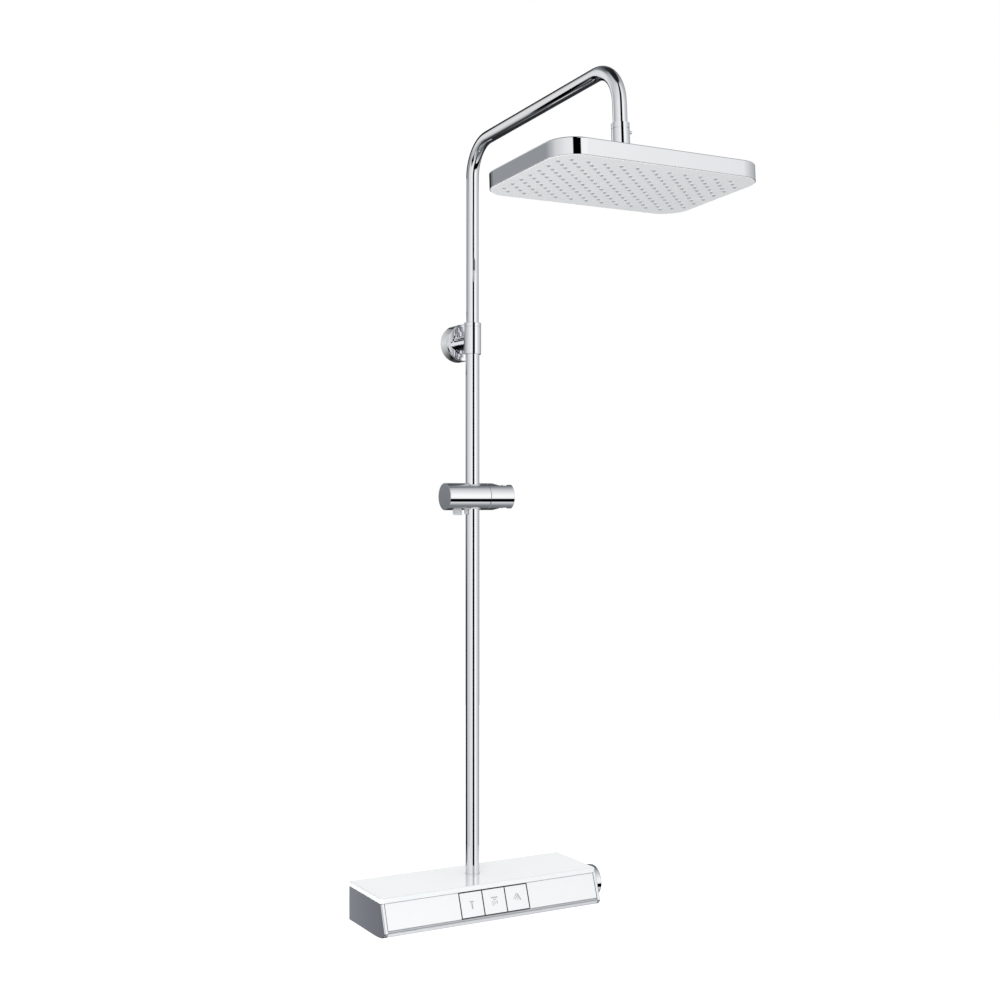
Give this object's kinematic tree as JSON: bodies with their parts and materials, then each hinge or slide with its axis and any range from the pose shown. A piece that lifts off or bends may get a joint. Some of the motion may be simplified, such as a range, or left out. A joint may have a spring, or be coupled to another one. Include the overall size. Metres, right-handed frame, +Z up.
{
  "type": "rainfall shower column",
  "caption": "Wall-mounted shower column: shelf thermostat with push buttons, telescopic riser with swivel arm, rain head on a ball joint, sliding hand-shower holder.",
  "frame": {"origin": "on the wall plane, midway between the two water inlets", "axes": "+Z up along the riser, +Y into the wall, +X to the right as seen from the front"},
  "size_m": [0.408, 0.6002, 1.2631],
  "materials": {
    "glass_white": "white back-painted safety glass, polished",
    "panel_white": "gloss white",
    "button_white": "gloss white with grey pictograms",
    "chrome": "polished chrome on metal",
    "satin_trim": "satin chrome",
    "chromed_plastic": "polished chrome plating on plastic",
    "casing_grey": "fine matt",
    "dark_plastic": "matt",
    "spray_white": "satin white",
    "silicone": "soft matt",
    "inner_plastic": "natural acetal",
    "black_rubber": "matt",
    "brass": "turned",
    "plated_brass": "nickel plated",
    "steel": "plain",
    "spring_steel": "drawn wire"
  },
  "bodies": {
    "mixer": {"shelf_top_plate": "glass_white", "undertray": "casing_grey", "wall_pads": "black_rubber", "end_cap_left": "chromed_plastic", "end_cap_right": "chromed_plastic", "front_panel_left": "panel_white", "front_panel_right": "panel_white", "front_trim_strip": "satin_trim", "button_guide_frame": "dark_plastic", "valve_body": "brass", "thermostat_cartridge": "brass", "s_unions": "brass", "union_nuts": "plated_brass", "shutoff_cartridges": "inner_plastic", "filter_washers": "black_rubber", "check_valves": "inner_plastic", "casing_screws": "steel", "hose_outlet": "plated_brass", "riser_nipple": "brass", "riser_o_rings": "black_rubber", "lower_riser_tube": "chrome", "guide_bush": "inner_plastic", "bracket_wall_plate": "steel", "bracket_flange": "chrome", "bracket_collar": "chrome", "flange_grub_screw": "steel", "button_spring_hand_shower": "spring_steel", "button_spring_rain": "spring_steel", "button_spring_jet": "spring_steel"},
    "hand_shower_button": {"button_hand_shower": "button_white"},
    "rain_button": {"button_rain": "button_white"},
    "jet_button": {"button_jet": "button_white"},
    "knob": {"temperature_knob": "chromed_plastic", "knob_cover": "chromed_plastic", "knob_screw": "steel", "thermostat_spindle": "brass", "override_spring": "spring_steel"},
    "override": {"override_button": "dark_plastic"},
    "telescope": {"telescope_piston": "inner_plastic", "telescope_o_rings": "black_rubber"},
    "arm": {"upper_riser_arm": "chrome", "drop_sleeve": "chrome", "sleeve_pin": "chrome", "ball_stem": "plated_brass"},
    "lock_ring": {"telescope_lock_ring": "chrome"},
    "seat": {"ball_seat": "inner_plastic"},
    "ring": {"ball_ring": "inner_plastic"},
    "rain_head": {"socket_nut": "chrome", "head_housing": "chromed_plastic", "water_chamber": "inner_plastic", "head_screws": "steel", "nozzle_sheet": "silicone", "spray_face": "spray_white"},
    "liner": {"slider_liner": "casing_grey"},
    "slider": {"slider_body": "chromed_plastic", "release_spring": "spring_steel", "holder_axle": "steel", "friction_washer": "inner_plastic"},
    "holder": {"hand_shower_holder": "chromed_plastic"},
    "release": {"release_tab": "casing_grey"}
  },
  "joints": [
    {"name": "riser_height", "type": "slide", "parent": "mixer", "child": "telescope", "axis": [0, 0, 1], "range_m": [-0.18, 0.1]},
    {"name": "arm_swivel", "type": "hinge", "parent": "telescope", "child": "arm", "pos_m": [0, -0.054, 0.9], "axis": [0, 0, 1], "range_deg": [-60, 60]},
    {"name": "lock_ring_turn", "type": "hinge", "parent": "mixer", "child": "lock_ring", "pos_m": [0, -0.054, 0.908], "axis": [0, 0, 1], "range_deg": [0, 120]},
    {"name": "head_turn", "type": "hinge", "parent": "arm", "child": "seat", "pos_m": [0, -0.47776, 1.08734], "axis": [0, 0.0593, 0.9982], "range_deg": [-90, 90]},
    {"name": "head_roll", "type": "hinge", "parent": "seat", "child": "ring", "pos_m": [0, -0.47776, 1.08734], "axis": [0, 0.9982, -0.0593], "range_deg": [-12, 12]},
    {"name": "head_pitch", "type": "hinge", "parent": "ring", "child": "rain_head", "pos_m": [0, -0.47776, 1.08734], "axis": [1, 0, 0], "range_deg": [-12, 12]},
    {"name": "slider_travel", "type": "slide", "parent": "mixer", "child": "liner", "axis": [0, 0, 1], "range_m": [-0.55, 0.2]},
    {"name": "slider_swing", "type": "hinge", "parent": "liner", "child": "slider", "pos_m": [0, -0.054, 0.6332], "axis": [0, 0, 1], "range_deg": [-45, 45]},
    {"name": "holder_tilt", "type": "hinge", "parent": "slider", "child": "holder", "pos_m": [0.025, -0.054, 0.6332], "axis": [1, 0, 0], "range_deg": [-45, 45]},
    {"name": "release_press", "type": "slide", "parent": "slider", "child": "release", "axis": [0, 0, 1], "range_m": [0, 0.003], "stiffness_N_per_m": 500, "springref_m": -0.004, "deforming": ["release_spring"]},
    {"name": "temperature_turn", "type": "hinge", "parent": "mixer", "child": "knob", "pos_m": [0.2, -0.077, -0.0017], "axis": [1, 0, 0], "range_deg": [-150, 60]},
    {"name": "override_press", "type": "slide", "parent": "knob", "child": "override", "axis": [0, 0, -1], "range_m": [0, 0.0016], "stiffness_N_per_m": 200, "springref_m": -0.003, "deforming": ["override_spring"]},
    {"name": "hand_shower_press", "type": "slide", "parent": "mixer", "child": "hand_shower_button", "axis": [0, 0.9438, -0.3305], "range_m": [0, 0.003], "stiffness_N_per_m": 800, "springref_m": -0.004, "deforming": ["button_spring_hand_shower"]},
    {"name": "rain_press", "type": "slide", "parent": "mixer", "child": "rain_button", "axis": [0, 0.9438, -0.3305], "range_m": [0, 0.003], "stiffness_N_per_m": 800, "springref_m": -0.004, "deforming": ["button_spring_rain"]},
    {"name": "jet_press", "type": "slide", "parent": "mixer", "child": "jet_button", "axis": [0, 0.9438, -0.3305], "range_m": [0, 0.003], "stiffness_N_per_m": 800, "springref_m": -0.004, "deforming": ["button_spring_jet"]}
  ]
}
